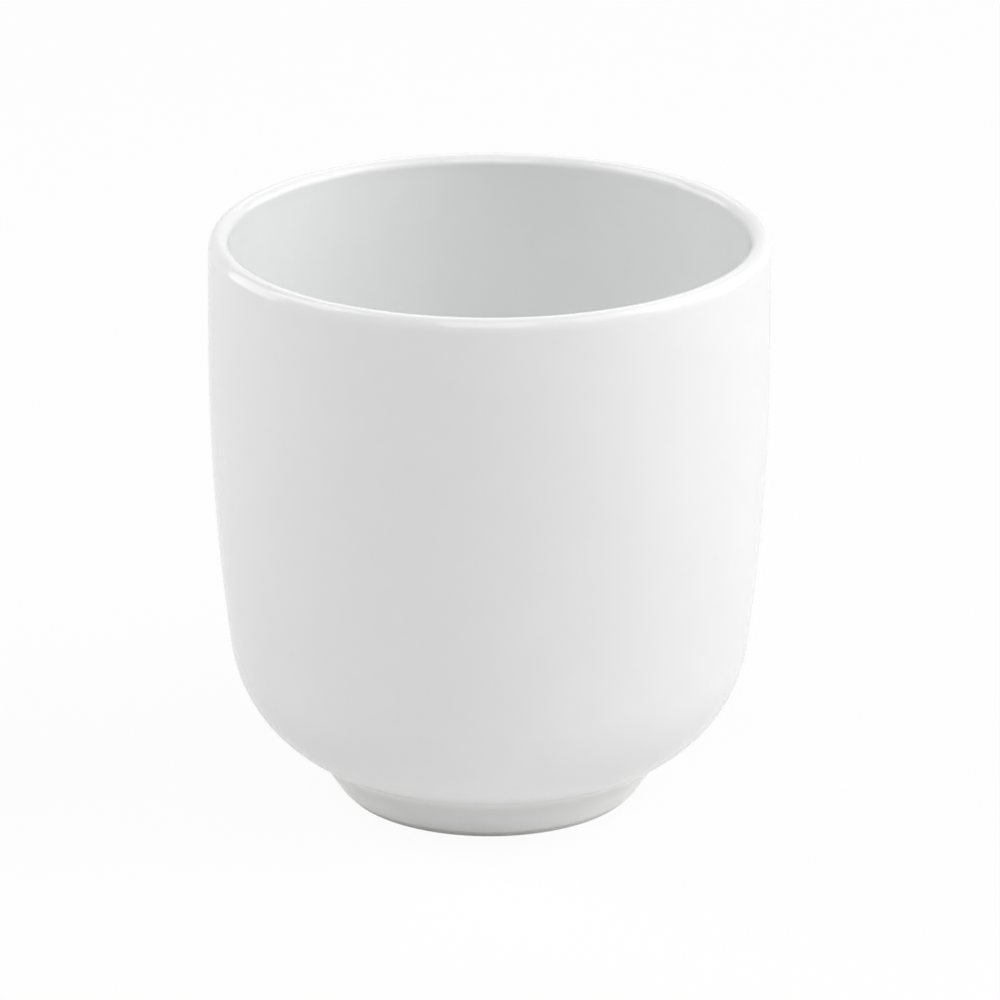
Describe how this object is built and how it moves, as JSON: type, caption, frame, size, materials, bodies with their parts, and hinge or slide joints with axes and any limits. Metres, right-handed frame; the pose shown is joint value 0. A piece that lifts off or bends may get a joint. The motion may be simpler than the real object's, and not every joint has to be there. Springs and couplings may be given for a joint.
{
  "type": "handleless cup",
  "caption": "Tall handleless drinking cup of white glazed porcelain, slightly rounded side, full round lip and a short tapered foot ring.",
  "frame": {"origin": "centre of the ring that the cup stands on, on the table", "axes": "+Z is the cup's axis of revolution, upwards to the rim; the cup is the same all round, so +X and +Y are free"},
  "size_m": [0.085, 0.085, 0.089],
  "materials": {
    "porcelain": "fired, under glaze",
    "bare_porcelain": "matt, ground smooth where it stands",
    "slip": "fired, under glaze",
    "outer_glaze": "clear gloss over white",
    "inner_glaze": "clear gloss over white",
    "foot_well_glaze": "clear gloss over white"
  },
  "bodies": {
    "root": {"porcelain_bowl": "porcelain", "foot_ring": "bare_porcelain", "joint_slip": "slip", "outer_glaze": "outer_glaze", "inner_glaze": "inner_glaze", "foot_well_glaze": "foot_well_glaze"}
  },
  "joints": []
}
